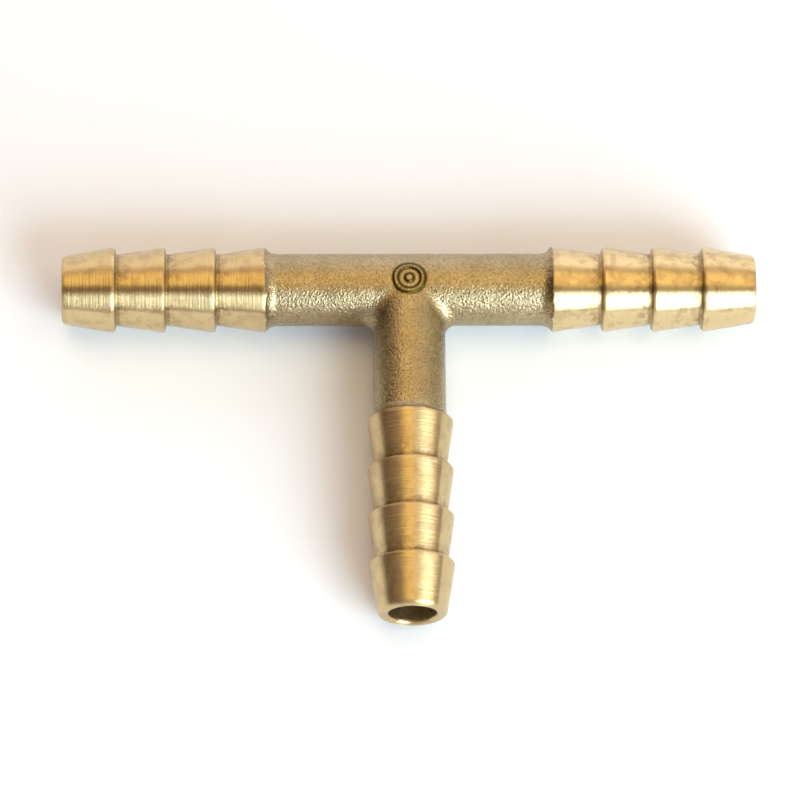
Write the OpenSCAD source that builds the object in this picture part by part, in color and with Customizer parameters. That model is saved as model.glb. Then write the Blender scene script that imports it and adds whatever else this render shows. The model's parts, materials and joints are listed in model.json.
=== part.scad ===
// Barbed tee connector for 1/4 in (6 mm) hose: one brass forging with three turned hose tails.
// The run lies along X, the branch points along -Y, +Z is up, and the origin is where the two
// axes cross. The forging is divided where its rough skin gives way to turned metal.

/* [Hose tails] */
// Diameter of the bore in every arm
bore_d = 4.3; // [3.4:0.1:5.3]
// Diameter over the barb crests
crest_d = 7.65; // [6.3:0.05:9.3]
// Diameter at the foot of each barb's cone
root_d = 6.4; // [5.6:0.05:7.2]
// Diameter that the last cone would have at the tip if its edge were sharp
tip_d = 6.1; // [5.6:0.05:7.4]
// Number of barbs on each tail
barb_count = 4; // [2:1:6]
// Length of each barb but the last
barb_pitch = 4.5; // [3.7:0.1:5.5]
// Length of the last barb, at the tip
tip_barb_length = 4.75; // [3.8:0.05:5.7]
// Length of the flat land on each crest
crest_land = 0.25; // [0.1:0.05:0.5]
// Length over which the steep face behind a crest drops to the next cone
step_run = 0.15; // [0.05:0.05:0.4]
// Radius of the rounded edge round the tip
tip_round = 0.4; // [0.2:0.05:0.5]
// Chamfer at the mouth of each bore
mouth_chamfer = 0.15; // [0.05:0.05:0.2]

/* [Forged body] */
// Outside diameter of the plain barrels
body_d = 6.5; // [5.4:0.1:7.8]
// Distance from the crossing of the axes to the start of each hose tail
neck_length = 12.95; // [10.4:0.05:15.6]
// Length of the hollow shoulder that rises from the barrel to the first crest
shoulder_length = 1.1; // [0.8:0.1:1.6]
// Radius of the fillet in the two corners between run and branch
corner_fillet = 1.3; // [0.8:0.1:1.8]

/* [Foundry mark] */
// Outside diameter of the raised ring on top of the crossing
mark_d = 2.9; // [2:0.1:3.4]
// Width of the ring's line
mark_line = 0.45; // [0.3:0.05:0.6]
// Diameter of the dot inside the ring
mark_dot_d = 0.8; // [0.5:0.1:1.2]
// Height of the mark above the barrel
mark_height = 0.12; // [0.06:0.02:0.2]
// Distance of the mark's centre from the run's axis, towards the branch
mark_shift = 0.2; // [0:0.1:0.5]

/* [Hidden] */
$fn = 96;

bore_r = bore_d / 2;
crest_r = crest_d / 2;
root_r = root_d / 2;
tip_r = tip_d / 2;
body_r = body_d / 2;
arm_length = neck_length + (barb_count - 1) * barb_pitch + tip_barb_length;

// The edge round the tip and the mouth chamfer share the wall there, with a flat ring between them.
tip_wall = tip_r - bore_r;
tip_edge = min(tip_round, 0.5 * tip_wall);
mouth_edge = min(mouth_chamfer, 0.25 * tip_wall);

arc_steps = 8;     // segments in each rounded or hollow edge
shoulder_turn = 55; // degrees that the shoulder's hollow turns through before it meets the crest
overrun = 1;       // how far a cutting tool runs past the metal

// ---- Directions of the three arms: each turns the +Z axis of a turned shape on to its arm. ----
LEFT = [0, -90, 0];
RIGHT = [0, 90, 0];
BRANCH = [90, 0, 0];

// ---- Profiles, as [radius, distance from the crossing] ----

// One barb: its crest's land, then a cone down to the foot, which the next barb's steep face follows.
function barb(start) = [
    [crest_r, start],
    [crest_r, start + crest_land],
    [root_r, start + barb_pitch - step_run]
];

// The last barb's cone ends in an edge of radius tip_edge that is tangent to the cone and to the end face.
function tip_barb(start) =
    let (
        taper = atan((crest_r - tip_r) / (tip_barb_length - crest_land)),
        centre_r = tip_r - tip_edge * (1 - sin(taper)) / cos(taper),
        centre_s = start + tip_barb_length - tip_edge
    ) concat(
        [[crest_r, start], [crest_r, start + crest_land]],
        [for (i = [0:arc_steps])
            let (a = taper + (90 - taper) * i / arc_steps)
            [centre_r + tip_edge * cos(a), centre_s + tip_edge * sin(a)]]
    );

function tail_profile() = concat(
    [[bore_r, neck_length]],
    [for (k = [0:barb_count - 2]) each barb(neck_length + k * barb_pitch)],
    tip_barb(arm_length - tip_barb_length),
    [[bore_r + mouth_edge, arm_length], [bore_r, arm_length - mouth_edge]]
);

// The barrel and its hollow shoulder, which rises ever more steeply to the first crest.
function neck_profile(start) = concat(
    [[0, start], [body_r, start]],
    [for (i = [0:arc_steps])
        let (a = shoulder_turn * i / arc_steps)
        [body_r + (crest_r - body_r) * (1 - cos(a)) / (1 - cos(shoulder_turn)),
         neck_length - shoulder_length * (1 - sin(a) / sin(shoulder_turn))]],
    [[0, neck_length]]
);

// ---- Corner fillet ----
// A ball of radius corner_fillet rolls in the corner between two barrels of the same radius and
// touches both. At angle a from +Z its centre is over the corner, and its arc from the run's
// barrel to the branch's is one section of the fillet.

fillet_steps = 22;      // sections along the corner
fillet_arc_steps = 7;   // segments across it
fillet_start = 12;      // degrees from +Z and -Z where the fillet is too shallow to matter
fillet_sink = 0.06;     // how far the fillet's edges and ends go into the barrels
fillet_core_r = (bore_r + body_r) / 2; // the fillet's inner edge runs in the middle of the wall

function ball_centre(a) = (body_r + corner_fillet) * [sin(a), -sin(a), cos(a)];
function towards_run(a) = [0, sin(a), -cos(a)];
function towards_branch(a) = [-sin(a), 0, -cos(a)];

function ball_direction(a, t) =
    let (w = acos(cos(a) * cos(a)))
    (sin((1 - t) * w) * towards_run(a) + sin(t * w) * towards_branch(a)) / sin(w);

// Depth that a point of the section is sunk: its two edges, and the whole of the two end sections.
function sink(i, j) =
    (i == 0 || i == fillet_steps || j == 0 || j == fillet_arc_steps) ? fillet_sink : 0;

function fillet_section(i) =
    let (a = fillet_start + (180 - 2 * fillet_start) * i / fillet_steps)
    concat(
        [for (j = [0:fillet_arc_steps])
            ball_centre(a) + (corner_fillet + sink(i, j)) * ball_direction(a, j / fillet_arc_steps)],
        [fillet_core_r * [sin(a), -sin(a), cos(a)]]
    );

module corner_fillet_solid() {
    ring = fillet_arc_steps + 2;
    points = [for (i = [0:fillet_steps]) each fillet_section(i)];
    sides = [for (i = [0:fillet_steps - 1], j = [0:ring - 1])
        let (a = i * ring + j, b = i * ring + (j + 1) % ring)
        each [[a, b, b + ring], [a, b + ring, a + ring]]];
    first_cap = [for (j = [ring - 1:-1:0]) j];
    last_cap = [for (j = [0:ring - 1]) fillet_steps * ring + j];
    polyhedron(points, concat(sides, [first_cap, last_cap]), convexity = 4);
}

// ---- Shapes ----

module both_barrels(radius, length) {
    rotate(LEFT) translate([0, 0, -length]) cylinder(r = radius, h = 2 * length);
    rotate(BRANCH) cylinder(r = radius, h = length);
}

module bores() {
    both_barrels(bore_r, neck_length + overrun);
}

// Ring and dot that follow the barrels' surface, raised by mark_height.
module foundry_mark() {
    intersection() {
        translate([0, -mark_shift, 0]) {
            difference() {
                cylinder(d = mark_d, h = crest_d);
                translate([0, 0, -overrun]) cylinder(d = mark_d - 2 * mark_line, h = crest_d + 2 * overrun);
            }
            cylinder(d = mark_dot_d, h = crest_d);
        }
        both_barrels(body_r + mark_height, mark_d);
    }
}

module neck() {
    rotate_extrude() polygon(neck_profile(0));
}

module forged_body() {
    color("darkkhaki") difference() {
        union() {
            rotate(LEFT) neck();
            rotate(RIGHT) neck();
            rotate(BRANCH) neck();
            corner_fillet_solid();
            mirror([1, 0, 0]) corner_fillet_solid();
            foundry_mark();
        }
        bores();
    }
}

module hose_tail(direction) {
    color("gold") rotate(direction) rotate_extrude() polygon(tail_profile());
}

module left_hose_tail() { hose_tail(LEFT); }
module right_hose_tail() { hose_tail(RIGHT); }
module branch_hose_tail() { hose_tail(BRANCH); }

forged_body();
left_hose_tail();
right_hose_tail();
branch_hose_tail();
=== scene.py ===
"""The looks of a brass barbed tee: a shot-blasted forging with three turned hose tails.

Shapes are worked out in millimetres in the part's own frame: the run along X, the branch along
-Y, +Z up, and the origin where the axes cross. They become metres when a mesh is made.
"""

import itertools
import json
import math

import bmesh
import bpy
import numpy as np
from mathutils import Matrix, Vector


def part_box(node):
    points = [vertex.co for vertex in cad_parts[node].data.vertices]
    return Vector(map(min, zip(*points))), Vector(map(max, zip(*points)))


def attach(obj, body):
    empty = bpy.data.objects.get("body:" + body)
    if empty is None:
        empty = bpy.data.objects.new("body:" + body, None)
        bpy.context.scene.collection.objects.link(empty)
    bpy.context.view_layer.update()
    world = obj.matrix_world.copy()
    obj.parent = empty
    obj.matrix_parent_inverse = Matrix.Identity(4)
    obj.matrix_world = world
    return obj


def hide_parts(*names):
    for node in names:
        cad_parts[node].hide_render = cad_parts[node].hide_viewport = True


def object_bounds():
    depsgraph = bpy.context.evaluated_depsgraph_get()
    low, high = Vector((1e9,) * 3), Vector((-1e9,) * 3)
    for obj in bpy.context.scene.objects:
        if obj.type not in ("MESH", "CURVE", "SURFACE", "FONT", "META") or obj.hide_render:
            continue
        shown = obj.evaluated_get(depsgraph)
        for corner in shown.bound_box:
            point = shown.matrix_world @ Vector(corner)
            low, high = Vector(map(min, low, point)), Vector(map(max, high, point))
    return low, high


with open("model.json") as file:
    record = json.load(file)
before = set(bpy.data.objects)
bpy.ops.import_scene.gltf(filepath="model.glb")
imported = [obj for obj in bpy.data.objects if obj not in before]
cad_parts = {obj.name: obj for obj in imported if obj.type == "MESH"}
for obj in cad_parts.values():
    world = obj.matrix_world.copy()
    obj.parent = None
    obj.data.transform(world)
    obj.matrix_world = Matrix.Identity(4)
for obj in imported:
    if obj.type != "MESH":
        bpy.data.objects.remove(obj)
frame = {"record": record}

cad_low, cad_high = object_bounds()

MM = 0.001

# ---- Sizes from the frame, in millimetres ----

mounts = {m["name"]: m for m in frame["record"]["mounts"]}
bore_r = mounts["run_bore"]["dims"]["r_mm"]
crest_r = mounts["right_hose_seat"]["dims"]["r_mm"]
tail_low, tail_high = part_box("right_hose_tail")
neck_length = tail_low.x / MM
tail_length = (tail_high.x - tail_low.x) / MM

# ---- Sizes of the hose tails ----

root_r = 3.2
tip_r = 3.05
barb_count = 4
crest_land = 0.25
step_run = 0.15
barb_pitch = 4.5
crest_round = 0.3
root_round = 0.12
tip_round = 0.4
mouth_chamfer = 0.15
mouth_round = 0.05

# How far before the next barb the foot and the corner of a cone begin, and how soon they are full.
# The foot carries stains, and the corner a painted shadow of the next barb's step.
FOOT_STAIN_AND_STEP_SHADOW = {"foot": (1.9, 1.7), "corner": (0.55, 0.2)}

# ---- The uneven border where the turned metal begins ----

BORDER_SEED = 40
wave_turns = (1, 2, 3, 5, 8, 13, 21)
wave_height = 0.05
wave_falloff = 0.4
wave_range = (-0.32, 0.12)
wave_reach = 0.9
nick_count = 7
nick_width = (0.05, 0.11)
nick_depth = (0.08, 0.2)

# ---- Sizes of the forged body ----

body_r = 3.25
shoulder_length = 1.1
shoulder_turn = math.radians(55)
corner_fillet = 1.3
bore_fillet = 0.15

# How far the crossings of the skin and of the bores reach along each arm.
skin_reach = 5.4
bore_reach = 3.4

# ---- The raised mark ----

mark_height = 0.12
mark_y = -0.2
mark_ring_r = 1.225
mark_line = 0.45
mark_dot_r = 0.4
mark_flank = 0.13
# The painted shade along the mark's strokes: how far it reaches and how strong it is.
mark_shade_width = 0.2
mark_shade_strength = 1.3
mark_smoothness = 0.7
mark_above = 0.8 * body_r

# ---- The forging's unevenness: the height, size and seed of each layer of noise ----

HAMMERED = ((0.012, 1.5, 1), (0.006, 0.7, 2))
GRAIN = (0.007, 0.28, 3)
skin_fade = 0.3
skin_depth = 0.2

# ---- Fineness of the meshes ----

LEVELS = 3
CAGE_AROUND = 24
AROUND = CAGE_AROUND * 2**LEVELS
SPACING = 0.12
FACE_STEPS = 5
SHOULDER_STEPS = 16
TAIL_BORE_STEPS = 29
NECK_BORE_STEPS = 11
RELAX_STEPS = 30
RELAX_PULL = 0.6
SETTLE_STEPS = 4
NEWTON_STEPS = 5

# ---- Arms: the way each one points, and the two directions that its angle is measured from ----

ARMS = {
    "left": ((-1, 0, 0), (0, -1, 0), (0, 0, 1)),
    "right": ((1, 0, 0), (0, -1, 0), (0, 0, 1)),
    "branch": ((0, -1, 0), (0, 0, 1), (1, 0, 0)),
}

# How much darker each arm's turned metal is made, from 0 to 1.
ARM_DARKENING = {"left": 0.45, "right": 0.0, "branch": 0.65}


def on_arm(arm, along, radius, angle):
    """Points at a distance along an arm, a radius from its axis and an angle round it."""
    axis, first, second = (np.array(v, float) for v in ARMS[arm])
    across = np.cos(angle)[..., None] * first + np.sin(angle)[..., None] * second
    return along[..., None] * axis + radius[..., None] * across


def angles_round():
    """The angle of each point of a ring."""
    return np.arange(AROUND) * 2 * math.pi / AROUND


def smooth(t):
    """0 below 0 and 1 above 1, with a smooth rise between."""
    t = np.clip(t, 0, 1)
    return t * t * (3 - 2 * t)


# ---- Noise ----

def lattice_noise(points, seed, size=32):
    """Smooth noise from -1 to 1, with one value at each whole-numbered place."""
    table = np.random.default_rng(seed).uniform(-1, 1, (size, size, size))
    cell = np.floor(points).astype(int)
    part = smooth(points - cell)
    total = np.zeros(len(points))
    for corner in itertools.product((0, 1), repeat=3):
        weight = np.prod(np.where(corner, part, 1 - part), axis=1)
        i, j, k = ((cell + corner) % size).T
        total += weight * table[i, j, k]
    return total


def border_wave(arm, angle):
    """How far along the arm the turned metal begins, from the nominal place, at each angle."""
    rng = np.random.default_rng(sorted(ARMS).index(arm) + BORDER_SEED)
    wave = np.zeros_like(angle)
    for turns in wave_turns:
        size, phase = rng.uniform(0.4, 1), rng.uniform(0, 2 * math.pi)
        wave += wave_height * size / turns**wave_falloff * np.sin(turns * angle + phase)
    for _ in range(nick_count):
        place, width = rng.uniform(0, 2 * math.pi), rng.uniform(*nick_width)
        off = (angle - place + math.pi) % (2 * math.pi) - math.pi
        wave -= rng.uniform(*nick_depth) * np.clip(1 - np.abs(off) / width, 0, 1)
    return np.clip(wave, *wave_range)


def border_radius(along):
    """The radius of the turned metal where its border falls, which may be past the first land."""
    slope = (crest_r - root_r) / (barb_pitch - step_run - crest_land)
    return crest_r - slope * np.clip(along - crest_land, 0, None)


# ---- Meshes ----

def make_object(name, points, faces):
    """A smooth closed object from points in millimetres, with its faces turned outwards."""
    mesh = bpy.data.meshes.new(name)
    mesh.from_pydata((np.asarray(points) * MM).tolist(), [], [tuple(map(int, f)) for f in faces])
    shape = bmesh.new()
    shape.from_mesh(mesh)
    bmesh.ops.recalc_face_normals(shape, faces=shape.faces)
    shape.to_mesh(mesh)
    shape.free()
    mesh.shade_smooth()
    piece = bpy.data.objects.new(name, mesh)
    bpy.context.scene.collection.objects.link(piece)
    return piece


def mesh_points(mesh):
    """A mesh's points in millimetres."""
    flat = np.empty(len(mesh.vertices) * 3)
    mesh.vertices.foreach_get("co", flat)
    return flat.reshape(-1, 3) / MM


def set_mesh_points(mesh, points):
    """Moves a mesh's points to places in millimetres."""
    mesh.vertices.foreach_set("co", (points * MM).ravel())
    mesh.update()


def mesh_normals(mesh):
    """The way out at each of a mesh's points."""
    flat = np.empty(len(mesh.vertices) * 3, np.float32)
    mesh.vertex_normals.foreach_get("vector", flat)
    return flat.reshape(-1, 3).astype(float)


def add_value(mesh, name, values):
    """Gives each point of a mesh a number that its material can read."""
    layer = mesh.attributes.new(name, "FLOAT", "POINT")
    layer.data.foreach_set("value", values.astype(np.float32))


def add_materials(mesh, inside, *materials):
    """Gives a mesh two materials, the second where a face's number in the list is 1."""
    for material in materials:
        mesh.materials.append(material)
    mesh.polygons.foreach_set("material_index", np.array(inside, np.int32))


def ring_faces(rings):
    """Quads between neighbouring rings of point numbers."""
    faces = []
    for near, far in zip(rings, rings[1:]):
        faces += zip(near, np.roll(near, -1), np.roll(far, -1), far)
    return faces


def rounded_outline(corners, spacing, turn_step=math.radians(9)):
    """Points along an outline of (along, radius, rounding) corners, with the corners rounded."""
    points = []
    for n, (along, radius, rounding) in enumerate(corners):
        here = np.array([along, radius])
        if n in (0, len(corners) - 1) or rounding == 0:
            points.append(here)
            continue
        before = np.array(corners[n - 1][:2]) - here
        after = np.array(corners[n + 1][:2]) - here
        before /= np.linalg.norm(before)
        after /= np.linalg.norm(after)
        half = math.acos(np.clip(before @ after, -1, 1)) / 2
        middle = (before + after) / np.linalg.norm(before + after)
        centre = here + middle * rounding / math.sin(half)
        start = here + before * rounding / math.tan(half) - centre
        end = here + after * rounding / math.tan(half) - centre
        turn = math.pi - 2 * half
        for t in np.linspace(0, 1, max(2, math.ceil(turn / turn_step)) + 1):
            spoke = math.sin((1 - t) * turn) * start + math.sin(t * turn) * end
            points.append(centre + spoke / math.sin(turn))
    filled = [points[0]]
    for p in points[1:]:
        start = filled[-1]
        steps = max(1, math.ceil(np.linalg.norm(p - start) / spacing))
        filled += [start + (p - start) * k / steps for k in range(1, steps + 1)]
    return np.array(filled)


# ---- Hose tails ----

def turned_outline():
    """A tail's section from its border over the barbs to the tip and into the bore's mouth."""
    corners = [(0, crest_r, 0)]
    for k in range(barb_count):
        start = k * barb_pitch
        if k:
            corners.append((start, crest_r, crest_round))
        corners.append((start + crest_land, crest_r, 0))
        if k < barb_count - 1:
            corners.append((start + barb_pitch - step_run, root_r, root_round))
    corners += [
        (tail_length, tip_r, tip_round),
        (tail_length, bore_r + mouth_chamfer, mouth_round),
        (tail_length - mouth_chamfer, bore_r, mouth_round),
        (tail_length - 2 * mouth_chamfer, bore_r, 0),
    ]
    return rounded_outline(corners, SPACING)


def make_tail(arm):
    """A tail's mesh, with its section turned round the arm and its border made uneven."""
    outline = turned_outline()
    bore_along = np.linspace(tail_length - 2 * mouth_chamfer, 0, TAIL_BORE_STEPS + 1)[1:]
    bore = [(s, bore_r) for s in bore_along]
    face = [(0.0, r) for r in np.linspace(bore_r, crest_r, FACE_STEPS + 1)[1:-1]]
    section = np.vstack([outline, bore, face])
    along, angle = np.meshgrid(section[:, 0], angles_round(), indexing="ij")
    radius = np.repeat(section[:, 1:], AROUND, axis=1)

    # The border's wave dies out along the first cone, and across the hidden inner face.
    wave = border_wave(arm, angle)
    outer = np.arange(len(section)) < len(outline)
    first = outer & (section[:, 0] < wave_reach) & (section[:, 1] > root_r)
    inner_face = np.arange(len(section)) >= len(outline) + len(bore)
    share = np.zeros(len(section))
    share[first] = (1 - section[first, 0] / wave_reach) ** 2
    share[inner_face] = (section[inner_face, 1] - bore_r) / (crest_r - bore_r)
    along = along + share[:, None] * wave
    radius[first] = border_radius(along[first])

    points = on_arm(arm, along + neck_length, radius, angle).reshape(-1, 3)
    rings = [np.arange(AROUND) + AROUND * n for n in range(len(section))]
    piece = make_object(f"{arm}_turned_tail", points, ring_faces(rings + rings[:1]))
    mesh = piece.data

    # The foot of each cone keeps its stains, and the corner under the next barb's step is darkest:
    # a painted shadow of that step.
    place = section[:, 0] % barb_pitch
    last_barb = section[:, 0] > (barb_count - 1) * barb_pitch
    for name, (begins, full_after) in FOOT_STAIN_AND_STEP_SHADOW.items():
        stain_and_shadow = np.where(outer, smooth((place - (barb_pitch - begins)) / full_after), 0)
        stain_and_shadow[last_barb] = 0
        add_value(mesh, name, np.repeat(stain_and_shadow, AROUND))
    add_value(mesh, "tarnish", np.full(len(points), ARM_DARKENING[arm]))
    inside = np.arange(len(section)) >= len(outline) - 1
    add_materials(mesh, np.repeat(inside, AROUND), turned_brass, bored_brass)

    # U runs along the arm and V round it, both in millimetres.
    corner_points = np.empty(len(mesh.loops), np.int32)
    mesh.loops.foreach_get("vertex_index", corner_points)
    run = np.concatenate([[0], np.cumsum(np.linalg.norm(np.diff(section, axis=0), axis=1))])
    u = np.repeat(run, AROUND)[corner_points]
    v = angle.ravel()[corner_points].reshape(-1, 4)
    v = np.where(v.max(axis=1, keepdims=True) - v > math.pi, v + 2 * math.pi, v).ravel()
    mesh.uv_layers.new(name="turning").data.foreach_set(
        "uv", np.stack([u, v * crest_r], axis=1).astype(np.float32).ravel()
    )
    return piece


# ---- Forged body ----

def crossing_surface(points, radius, fillet):
    """How far points are outside two crossing barrels with filleted corners, and the way out.

    A ball rolls in the corner and touches both barrels. Its centre follows an ellipse in the
    plane half-way between the arms, and its far side is the fillet.
    """
    side = np.where(points[:, 0] < 0, -1.0, 1.0)
    x, y, z = np.abs(points[:, 0]), points[:, 1], points[:, 2]
    run = np.stack([np.zeros_like(x), y, z], axis=1) / np.hypot(y, z)[:, None]
    branch = np.stack([x, np.zeros_like(x), z], axis=1) / np.hypot(x, z)[:, None]
    run_gap = np.hypot(y, z) - radius
    branch_gap = np.where(y < 0, np.hypot(x, z) - radius, np.inf)
    on_run = run_gap < branch_gap
    gap = np.where(on_run, run_gap, branch_gap)
    out = np.where(on_run[:, None], run, branch)

    reach = radius + fillet
    wide, tall = math.sqrt(2) * reach, reach
    u = (x - y) / math.sqrt(2)
    # Newton's method finds the angle of the nearest place on the ellipse.
    a = np.arctan2(u / wide, z / tall)
    for _ in range(NEWTON_STEPS):
        across, up = wide * np.sin(a) - u, tall * np.cos(a) - z
        error = across * wide * np.cos(a) - up * tall * np.sin(a)
        slope = (wide * np.cos(a)) ** 2 - across * wide * np.sin(a)
        slope += (tall * np.sin(a)) ** 2 - up * tall * np.cos(a)
        a = a - np.clip(error / np.maximum(slope, 1e-3), -0.3, 0.3)
    sine, cosine = np.sin(a), np.cos(a)
    centre = reach * np.stack([sine, -sine, cosine], axis=1)
    to_run = np.stack([0 * sine, -sine, cosine], axis=1)
    to_branch = np.stack([sine, 0 * sine, cosine], axis=1)
    away = centre - np.stack([x, y, z], axis=1)
    along_run, along_branch = (away * to_run).sum(1), (away * to_branch).sum(1)
    common = cosine**2
    in_corner = (along_run > common * along_branch) & (along_branch > common * along_run)
    in_corner &= (sine > 0.05) & (y < 0)
    length = np.linalg.norm(away, axis=1)
    gap = np.where(in_corner, fillet - length, gap)
    out = np.where(in_corner[:, None], away / np.maximum(length, 1e-6)[:, None], out)
    out[:, 0] *= side
    return gap, out


def settle(points, radius, fillet):
    """Points moved straight on to the crossing barrels' surface."""
    for _ in range(SETTLE_STEPS):
        gap, out = crossing_surface(points, radius, fillet)
        points = points - gap[:, None] * out
    return points


def quad_edges(faces):
    """The two ends of each quad's four edges, the lower number first."""
    ends = np.stack([faces, np.roll(faces, -1, axis=1)], axis=2)
    return np.sort(ends.reshape(-1, 2), axis=1)


def split_quads(points, faces):
    """Each quad cut in four. Returns the points and the faces."""
    edges, which = np.unique(quad_edges(faces), axis=0, return_inverse=True)
    which = which.reshape(-1, 4) + len(points)
    middles = points[edges].mean(axis=1)
    centres = np.arange(len(faces)) + len(points) + len(edges)
    made = [
        np.stack([faces[:, k], which[:, k], centres, which[:, k - 1]], axis=1) for k in range(4)
    ]
    return np.vstack([points, middles, points[faces].mean(axis=1)]), np.vstack(made)


def relax(points, faces, held, radius, fillet):
    """Evens out the quads on the crossing barrels' surface, with the held points kept."""
    edges = np.unique(quad_edges(faces), axis=0)
    count = np.bincount(edges.ravel(), minlength=len(points))[:, None]
    for _ in range(RELAX_STEPS):
        total = np.zeros_like(points)
        np.add.at(total, edges[:, 0], points[edges[:, 1]])
        np.add.at(total, edges[:, 1], points[edges[:, 0]])
        moved = settle(points + RELAX_PULL * (total / count - points), radius, fillet)
        points = np.where(held[:, None], points, moved)
    return points


def crossing_mesh(radius, fillet, reach):
    """Points and quads of the crossing out to a reach along each arm, and the arms' end rings.

    It starts as a coarse cage. The branch's first ring there is the edge of a hole, a quarter of
    the cage's sides wide and as long, in the side of the run.
    """
    sides = CAGE_AROUND
    hole = sides // 4
    half = hole // 2
    corner = (radius + fillet) * (1 - 1 / math.sqrt(2)) + radius / math.sqrt(2)
    inner = [corner * k / half for k in range(half + 1)]
    beyond = [corner + (reach - corner) * t for t in (0.5, 1)]
    stations = inner + beyond
    stations = [-s for s in stations[:0:-1]] + stations
    middle = len(stations) // 2
    step = 2 * math.pi / sides
    points, number = [], {}
    for i, s in enumerate(stations):
        for k in range(-sides // 2, sides // 2):
            if abs(i - middle) < half and abs(k) < half:
                continue
            number[i, k % sides] = len(points)
            points.append((s, -radius * math.cos(k * step), radius * math.sin(k * step)))
    faces = []
    for i in range(len(stations) - 1):
        for k in range(sides):
            quad = [(i, k), (i, k + 1), (i + 1, k + 1), (i + 1, k)]
            low = (k + half) % sides - half
            if -half <= low < half and middle - half <= i < middle + half:
                continue
            faces.append([number[a, b % sides] for a, b in quad])
    edge = []
    for m in range(sides):
        turn = (m + half) % sides
        part, rest = divmod(turn, hole)
        i, k = [
            (middle - half + rest, half),
            (middle + half, half - rest),
            (middle + half - rest, -half),
            (middle - half, rest - half),
        ][part]
        edge.append(number[i, k % sides])
    rings = [edge]
    for s in beyond:
        rings.append(list(range(len(points), len(points) + sides)))
        for m in range(sides):
            points.append((radius * math.sin(m * step), -s, radius * math.cos(m * step)))
    faces += [list(f) for f in ring_faces(rings)]

    points, faces = np.array(points, float), np.array(faces)
    points = settle(points, radius, fillet)
    nearly = reach - 1e-6
    for _ in range(LEVELS):
        points, faces = split_quads(points, faces)
        held = (np.abs(points[:, 0]) > nearly) | (points[:, 1] < -nearly)
        points = settle(points, radius, fillet)
        points = relax(points, faces, held, radius, fillet)

    ends = {}
    for arm, (axis, first, second) in ARMS.items():
        at_end = np.flatnonzero(points @ np.array(axis) > nearly)
        turn = np.arctan2(points[at_end] @ np.array(second), points[at_end] @ np.array(first))
        ends[arm] = at_end[np.argsort(np.round(turn % (2 * math.pi), 6) % (2 * math.pi))]
    return points, faces, ends


def barrel_rings(places, radius):
    """(along, radius) of each ring of a plain barrel."""
    return [(np.full(AROUND, s), np.full(AROUND, radius)) for s in places]


def shoulder_sections(arm):
    """(along, radius) of each ring of an arm's skin, from the crossing to the turned metal."""
    barrel_end = neck_length - shoulder_length
    steps = round((barrel_end - skin_reach) / SPACING)
    rings = barrel_rings(np.linspace(skin_reach, barrel_end, steps)[1:], body_r)
    wave = border_wave(arm, angles_round())
    top = border_radius(wave)
    for a in np.linspace(0, shoulder_turn, SHOULDER_STEPS + 1)[1:]:
        forward = math.sin(a) / math.sin(shoulder_turn)
        rise = (1 - math.cos(a)) / (1 - math.cos(shoulder_turn))
        along = barrel_end + forward * (shoulder_length + wave)
        rings.append((along, body_r + rise * (top - body_r)))
    return rings


def make_body():
    """The forging: its skin and its bores as two crossings, joined along each arm."""
    skin, skin_faces, skin_ends = crossing_mesh(body_r, corner_fillet, skin_reach)
    bore, bore_faces, bore_ends = crossing_mesh(bore_r, bore_fillet, bore_reach)
    points = [skin, bore]
    total = len(skin)
    faces = skin_faces.tolist() + (bore_faces + total).tolist()
    inside = [0] * len(skin_faces) + [1] * len(bore_faces)
    total += len(bore)
    for arm in ARMS:
        outer = shoulder_sections(arm)
        end_along, end_r = outer[-1]
        face = []
        for t in np.linspace(0, 1, FACE_STEPS + 1)[1:]:
            face.append((end_along * (1 - t) + neck_length * t, end_r * (1 - t) + bore_r * t))
        inner_places = np.linspace(neck_length, bore_reach, NECK_BORE_STEPS + 1)[1:-1]
        inner = barrel_rings(inner_places, bore_r)
        rings = [skin_ends[arm]]
        for along, radius in outer + face + inner:
            points.append(on_arm(arm, along, radius, angles_round()))
            rings.append(np.arange(AROUND) + total)
            total += AROUND
        rings.append(bore_ends[arm] + len(skin))
        added = ring_faces(rings)
        faces += added
        in_skin = len(outer) * AROUND
        inside += [0] * in_skin + [1] * (len(added) - in_skin)
    piece = make_object("forged_tee_body", np.vstack(points), faces)
    add_materials(piece.data, inside, forged_brass, bored_brass)
    refine_mark(piece.data)
    roughen(piece.data)
    return piece


def refine_mark(mesh):
    """Cuts the quads under the raised mark finer, on top of the crossing."""
    shape = bmesh.new()
    shape.from_mesh(mesh)
    reach = (mark_ring_r + mark_line) * MM
    centre = Vector((0, mark_y * MM, 0))
    near = [
        v for v in shape.verts
        if v.co.z > mark_above * MM and (v.co.xy - centre.xy).length < reach
    ]
    marked = set(near)
    edges = [e for e in shape.edges if e.verts[0] in marked and e.verts[1] in marked]
    bmesh.ops.subdivide_edges(shape, edges=edges, cuts=3, use_grid_fill=True)
    shape.to_mesh(mesh)
    shape.free()
    points = mesh_points(mesh)
    top = points[:, 2] > mark_above
    top &= np.hypot(points[:, 0], points[:, 1] - mark_y) < mark_ring_r + mark_line
    points[top] = settle(points[top], body_r, corner_fillet)
    set_mesh_points(mesh, points)


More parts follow.
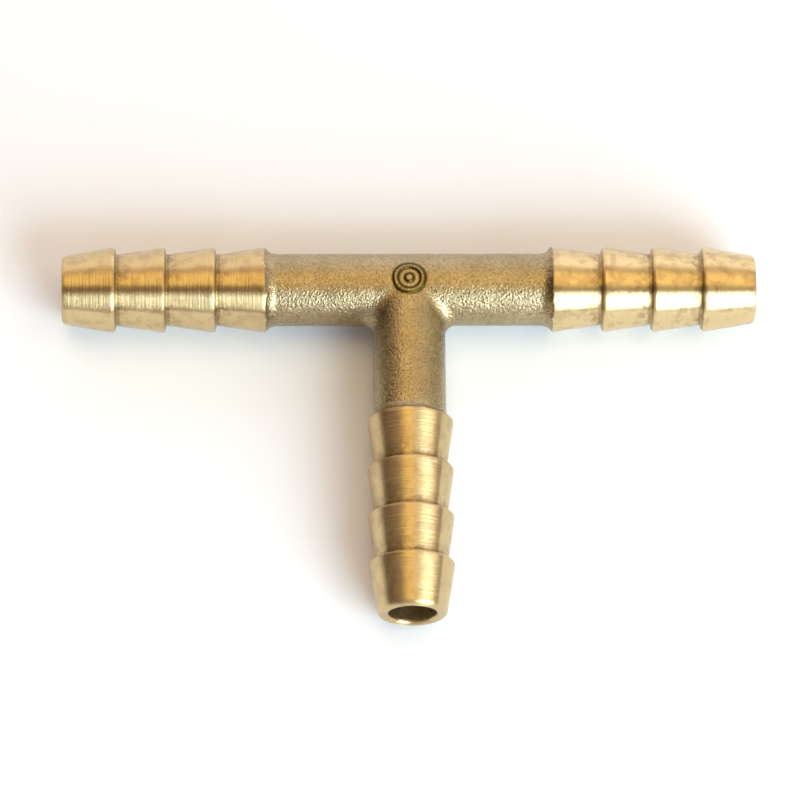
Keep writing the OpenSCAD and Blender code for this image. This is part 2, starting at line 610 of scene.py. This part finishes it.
def roughen(mesh):
    """Gives the forging's skin its hammered unevenness, shot-blasted grain and raised mark."""
    points, out = mesh_points(mesh), mesh_normals(mesh)
    gap, _ = crossing_surface(points, body_r, corner_fillet)
    along = np.maximum(np.abs(points[:, 0]), -points[:, 1])
    outside = gap > -skin_depth
    skin = np.where(outside, smooth((neck_length - skin_fade - along) / skin_fade), 0)
    from_mark = np.hypot(points[:, 0], points[:, 1] - mark_y)
    to_line = np.minimum(
        np.abs(from_mark - mark_ring_r) - mark_line / 2, from_mark - mark_dot_r
    )
    raised = smooth(0.5 - to_line / mark_flank) * (points[:, 2] > mark_above) * skin
    uneven = sum(height * lattice_noise(points / size, seed) for height, size, seed in HAMMERED)
    height, size, seed = GRAIN
    grain = height * lattice_noise(points / size, seed)
    points = points + out * (skin * (uneven + grain * (1 - mark_smoothness * raised)))[:, None]
    points[:, 2] += mark_height * raised
    set_mesh_points(mesh, points)
    # A mask of painted shade along the edges of the mark's strokes, as if their flanks were in
    # shadow.
    top = (points[:, 2] > mark_above) & (skin > 0.5)
    mark_shade = smooth(mark_shade_strength - np.abs(to_line) / mark_shade_width)
    add_value(mesh, "mark_edge", mark_shade * top)


# ---- Colours of the metal ----

SKIN_PALE = (0.48, 0.39, 0.24)
SKIN_DARK = (0.41, 0.325, 0.19)
SKIN_VALLEY = (0.18, 0.13, 0.07)
SKIN_SPECKLE = (0.20, 0.15, 0.085)
# Painted shade along the edges of the raised mark.
MARK_EDGE_SHADE = (0.09, 0.062, 0.012)
TURNED_CLEAN = (0.79, 0.625, 0.35)
TURNED_DULL = (0.57, 0.435, 0.225)
TURNED_PATCH = (0.50, 0.34, 0.20)
TURNED_STAIN = (0.36, 0.24, 0.13)
TURNED_SPECK = (0.20, 0.13, 0.07)
# Painted shadow in the corner under each barb's step.
TURNED_STEP_SHADOW = (0.14, 0.085, 0.03)
BORE_CLEAN = (0.62, 0.50, 0.30)
BORE_FILM = (0.42, 0.30, 0.16)


# ---- Materials ----

def add_node(tree, kind, inputs=None, **settings):
    """A node with its settings, and its inputs given as values or as the sockets to link."""
    node = tree.nodes.new(kind)
    for name, value in settings.items():
        setattr(node, name, value)
    for name, value in (inputs or {}).items():
        if isinstance(value, bpy.types.NodeSocket):
            tree.links.new(value, node.inputs[name])
        else:
            node.inputs[name].default_value = value
    return node


def new_material(name):
    """A metal's material, its node tree and its shader."""
    material = bpy.data.materials.new(name)
    material.use_nodes = True
    tree = material.node_tree
    shader = tree.nodes["Principled BSDF"]
    shader.inputs["Metallic"].default_value = 1.0
    return material, tree, shader


def noise(tree, place, scale, detail=2.0, rough=0.5):
    """Noise from 0 to 1, with so many cells to a millimetre."""
    inputs = {"Vector": place, "Scale": scale, "Detail": detail, "Roughness": rough}
    return add_node(tree, "ShaderNodeTexNoise", inputs).outputs["Fac"]


def between(tree, value, low, high, to_low=0.0, to_high=1.0):
    """A value taken from one range to another, without going past its ends."""
    inputs = {
        "Value": value, "From Min": low, "From Max": high, "To Min": to_low, "To Max": to_high
    }
    return add_node(tree, "ShaderNodeMapRange", inputs).outputs["Result"]


def mix(tree, share, first, second):
    """A colour between two colours."""
    node = add_node(tree, "ShaderNodeMix", data_type="RGBA")
    for socket, value in ((0, share), (6, first), (7, second)):
        if isinstance(value, bpy.types.NodeSocket):
            tree.links.new(value, node.inputs[socket])
        else:
            node.inputs[socket].default_value = value if socket == 0 else (*value, 1)
    return node.outputs[2]


def combined(tree, operation, first, second):
    """Two values put together by a Math node's operation."""
    return add_node(tree, "ShaderNodeMath", {0: first, 1: second}, operation=operation).outputs[0]


def product(tree, first, second):
    """One value times another."""
    return combined(tree, "MULTIPLY", first, second)


def vector_product(tree, first, second):
    """One vector times another, each number by its own."""
    inputs = {0: first, 1: second}
    return add_node(tree, "ShaderNodeVectorMath", inputs, operation="MULTIPLY").outputs[0]


def attribute(tree, name):
    """A number that add_value gave to each point of the mesh."""
    return add_node(tree, "ShaderNodeAttribute", attribute_name=name).outputs["Fac"]


def in_millimetres(tree):
    """The place on the object, in millimetres."""
    place = add_node(tree, "ShaderNodeTexCoord").outputs["Object"]
    inputs = {0: place, 3: 1 / MM}
    return add_node(tree, "ShaderNodeVectorMath", inputs, operation="SCALE").outputs[0]


def finish_metal(tree, shader, colour, rough, height, depth):
    """Links a metal's colour, its roughness, and bumps so many metres deep."""
    inputs = {"Strength": 1.0, "Distance": depth, "Height": height}
    bump = add_node(tree, "ShaderNodeBump", inputs)
    for name, value in (("Base Color", colour), ("Roughness", rough), ("Normal", bump.outputs[0])):
        tree.links.new(value, shader.inputs[name])


def make_forged_brass():
    """Shot-blasted skin: dark between its grains, speckled, and with painted shade round the
    mark's strokes.
    """
    material, tree, shader = new_material("forged_brass")
    place = in_millimetres(tree)
    patches = noise(tree, place, 0.35, 3.0)
    speckle = noise(tree, place, 4.5, 3.0, 0.6)
    grain = noise(tree, place, 5.6, 2.5)
    colour = mix(tree, between(tree, patches, 0.35, 0.65), SKIN_PALE, SKIN_DARK)
    colour = mix(tree, between(tree, grain, 0.5, 0.3, 0, 0.7), colour, SKIN_VALLEY)
    colour = mix(tree, between(tree, speckle, 0.5, 0.7, 0, 0.5), colour, SKIN_SPECKLE)
    # Painted shade along the mark's strokes.
    colour = mix(tree, attribute(tree, "mark_edge"), colour, MARK_EDGE_SHADE)
    rough = between(tree, noise(tree, place, 1.6, 3.0), 0.3, 0.7, 0.22, 0.32)
    finish_metal(tree, shader, colour, rough, grain, 0.000085)
    return material


def make_turned_brass():
    """Turned metal: fine lines round the arm, brown patches, stains at each cone's foot, and a
    painted shadow under each barb's step.
    """
    material, tree, shader = new_material("turned_brass")
    place = in_millimetres(tree)
    turning = add_node(tree, "ShaderNodeUVMap", uv_map="turning").outputs[0]
    lines = noise(tree, vector_product(tree, turning, (1, 0.03, 0)), 5.0, 4.0, 0.6)
    cloud = noise(tree, place, 0.6, 3.0)
    smudge = noise(tree, place, 1.7, 4.0, 0.6)
    foot = attribute(tree, "foot")
    stain = product(tree, foot, between(tree, smudge, 0.40, 0.70))
    patch = between(tree, noise(tree, place, 0.85, 4.0, 0.6), 0.5, 0.6, 0, 0.5)
    speck = product(tree, foot, between(tree, noise(tree, place, 4.5, 3.0), 0.57, 0.67))
    clouded = between(tree, cloud, 0.3, 0.7, 0, 0.2)
    # Each arm's turned colour is darkened by its own set amount, plus random clouding.
    dull = combined(tree, "ADD", attribute(tree, "tarnish"), clouded)
    colour = mix(tree, dull, TURNED_CLEAN, TURNED_DULL)
    colour = mix(tree, patch, colour, TURNED_PATCH)
    colour = mix(tree, product(tree, stain, 0.65), colour, TURNED_STAIN)
    colour = mix(tree, product(tree, speck, 0.5), colour, TURNED_SPECK)
    # Painted shadow in the corner under the next barb's step.
    colour = mix(tree, product(tree, attribute(tree, "corner"), 0.35), colour, TURNED_STEP_SHADOW)
    rough = between(tree, lines, 0.3, 0.7, 0.27, 0.34)
    rough = combined(tree, "ADD", rough, product(tree, stain, 0.1))
    finish_metal(tree, shader, colour, rough, lines, 0.00006)
    shader.inputs["Anisotropic"].default_value = 1.0
    tangent = add_node(tree, "ShaderNodeTangent", direction_type="UV_MAP", uv_map="turning")
    tree.links.new(tangent.outputs[0], shader.inputs["Tangent"])
    return material


def make_bored_brass():
    """Drilled metal, clean and filmed by turns."""
    material, tree, shader = new_material("bored_brass")
    place = in_millimetres(tree)
    film = noise(tree, place, 0.9, 4.0, 0.6)
    colour = mix(tree, between(tree, film, 0.4, 0.6), BORE_CLEAN, BORE_FILM)
    rough = between(tree, film, 0.3, 0.7, 0.3, 0.42)
    finish_metal(tree, shader, colour, rough, noise(tree, place, 5.0, 3.0), 0.00003)
    return material


forged_brass = make_forged_brass()
turned_brass = make_turned_brass()
bored_brass = make_bored_brass()

# ---- The object ----

body = make_body()
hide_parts("forged_body")
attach(body, "root")

for arm in ARMS:
    tail = make_tail(arm)
    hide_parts(f"{arm}_hose_tail")
    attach(tail, "root")


# ---- Floor ----

def make_floor():
    """A sheet of pale paper that the part lies on, eight metres square."""
    half = 4.0
    mesh = bpy.data.meshes.new("floor")
    corners = [(-half, -half), (half, -half), (half, half), (-half, half)]
    mesh.from_pydata([(x, y, cad_low.z) for x, y in corners], [], [(0, 1, 2, 3)])
    floor = bpy.data.objects.new("floor", mesh)
    bpy.context.scene.collection.objects.link(floor)
    material = bpy.data.materials.new("floor_paper")
    material.use_nodes = True
    shader = material.node_tree.nodes["Principled BSDF"]
    shader.inputs["Base Color"].default_value = (0.86, 0.895, 0.945, 1)
    shader.inputs["Roughness"].default_value = 0.9
    shader.inputs["Specular IOR Level"].default_value = 0.1
    mesh.materials.append(material)


make_floor()

# ---- Camera ----

camera_tilt = math.radians(22.47)
camera_yaw = math.radians(3.54)
camera_roll = math.radians(-3.16)
camera_distance = 0.49588
camera_aim = Vector((-0.000886, -0.010741, 0))
camera_lens = 249.5


def make_camera():
    """A long lens high in front, tilted from straight down, and turned a little."""
    data = bpy.data.cameras.new("camera")
    data.lens = camera_lens
    data.sensor_width = 36
    data.clip_start = 0.01
    data.clip_end = 20
    camera = bpy.data.objects.new("camera", data)
    turned = Matrix.Rotation(-camera_yaw, 4, "Z") @ Matrix.Rotation(camera_tilt, 4, "X")
    turned = turned @ Matrix.Rotation(-camera_roll, 4, "Z")
    back = turned.to_3x3() @ Vector((0, 0, camera_distance))
    camera.matrix_world = Matrix.Translation(camera_aim + back) @ turned
    bpy.context.scene.collection.objects.link(camera)
    bpy.context.scene.camera = camera


make_camera()

# ---- Light ----

def make_panel(name, azimuth, elevation, distance, width, height, colour, radiance):
    """A rectangular light that faces the object. Azimuth 0 is in front, and 90 is at +X."""
    light = bpy.data.lights.new(name, "AREA")
    light.shape = "RECTANGLE"
    light.size = width
    light.size_y = height
    light.color = colour
    light.energy = 4 * radiance * width * height
    panel = bpy.data.objects.new(name, light)
    a, e = math.radians(azimuth), math.radians(elevation)
    away = Vector((math.sin(a) * math.cos(e), -math.cos(a) * math.cos(e), math.sin(e)))
    panel.location = away * distance
    panel.rotation_mode = "QUATERNION"
    panel.rotation_quaternion = away.to_track_quat("Z", "Y")
    panel.visible_camera = False
    bpy.context.scene.collection.objects.link(panel)


make_panel(
    "key_window", azimuth=37, elevation=25.5, distance=0.5, width=0.333, height=0.385,
    colour=(0.73, 0.91, 1.0), radiance=7.0,
)


def angle_between(tree, first, second):
    """The angle in degrees whose tangent is one value over another."""
    return product(tree, combined(tree, "ARCTAN2", first, second), 180 / math.pi)


def window(tree, angle, low, high, soft):
    """1 between two angles and 0 outside them, with soft edges."""
    rise = between(tree, angle, low - soft, low + soft)
    return product(tree, rise, between(tree, angle, high + soft, high - soft))


def make_world():
    """A room with a warm ceiling, a pale wall behind, and a dark brown one to the left.

    Its parts are placed by two angles from straight up: one towards the front, one to the right.
    Each is laid over those before it.
    """
    world = bpy.data.worlds.new("room")
    bpy.context.scene.world = world
    world.use_nodes = True
    tree = world.node_tree
    direction = add_node(tree, "ShaderNodeTexCoord").outputs["Generated"]
    x, y, z = add_node(tree, "ShaderNodeSeparateXYZ", {0: direction}).outputs
    front = angle_between(tree, product(tree, y, -1), z)
    right = angle_between(tree, x, z)

    around = angle_between(tree, x, y)
    # From a dark side at the left to a pale one at the right, which is duller low down.
    side = between(tree, right, -58, 25)
    room = mix(tree, side, (0.07, 0.03, 0.008), (0.75, 0.62, 0.48))
    room = mix(tree, between(tree, right, 72, 86), room, (0.45, 0.40, 0.33))

    # Low down in front.
    opposite = product(tree, window(tree, front, 34, 84, 6), window(tree, right, -70, 30, 12))
    room = mix(tree, opposite, room, (0.50, 0.42, 0.36))

    # Behind: the edge of the ceiling, then the wall.
    ahead = window(tree, around, -55, 55, 8)
    back = mix(tree, side, (0.95, 0.62, 0.38), (0.78, 0.63, 0.43))
    room = mix(tree, product(tree, ahead, between(tree, front, -24, -32)), room, back)
    wall = mix(tree, side, (1.12, 0.93, 0.80), (1.48, 1.40, 1.32))
    room = mix(tree, product(tree, ahead, between(tree, front, -44, -54)), room, wall)

    # Overhead: the warm ceiling, the part beside it, and the dark gap where the camera stands.
    slanted = combined(tree, "SUBTRACT", front, product(tree, right, 0.3))
    ceiling = product(tree, window(tree, slanted, -26, 11, 5), window(tree, right, -23, 10, 6))
    room = mix(tree, ceiling, room, (2.60, 1.88, 0.76))
    beside = product(tree, window(tree, slanted, -40, 4, 6), window(tree, right, 26, 68, 4))
    room = mix(tree, beside, room, (1.38, 1.10, 0.58))
    camera_gap = product(tree, window(tree, slanted, 16, 32, 4), window(tree, right, -60, 30, 10))
    gap = mix(tree, between(tree, right, -5, 15), (0.20, 0.13, 0.05), (0.42, 0.32, 0.18))
    room = mix(tree, camera_gap, room, gap)

    # Paper takes a cooler light than the metal mirrors, and a plain backdrop fills the view.
    cooler = vector_product(tree, room, (1.02, 1.06, 1.38))
    path = add_node(tree, "ShaderNodeLightPath")
    room = mix(tree, path.outputs["Is Diffuse Ray"], room, cooler)
    room = mix(tree, path.outputs["Is Camera Ray"], room, (0.96, 0.96, 0.95))
    tree.links.new(room, tree.nodes["Background"].inputs["Color"])


make_world()
bpy.context.scene.view_settings.view_transform = "Standard"
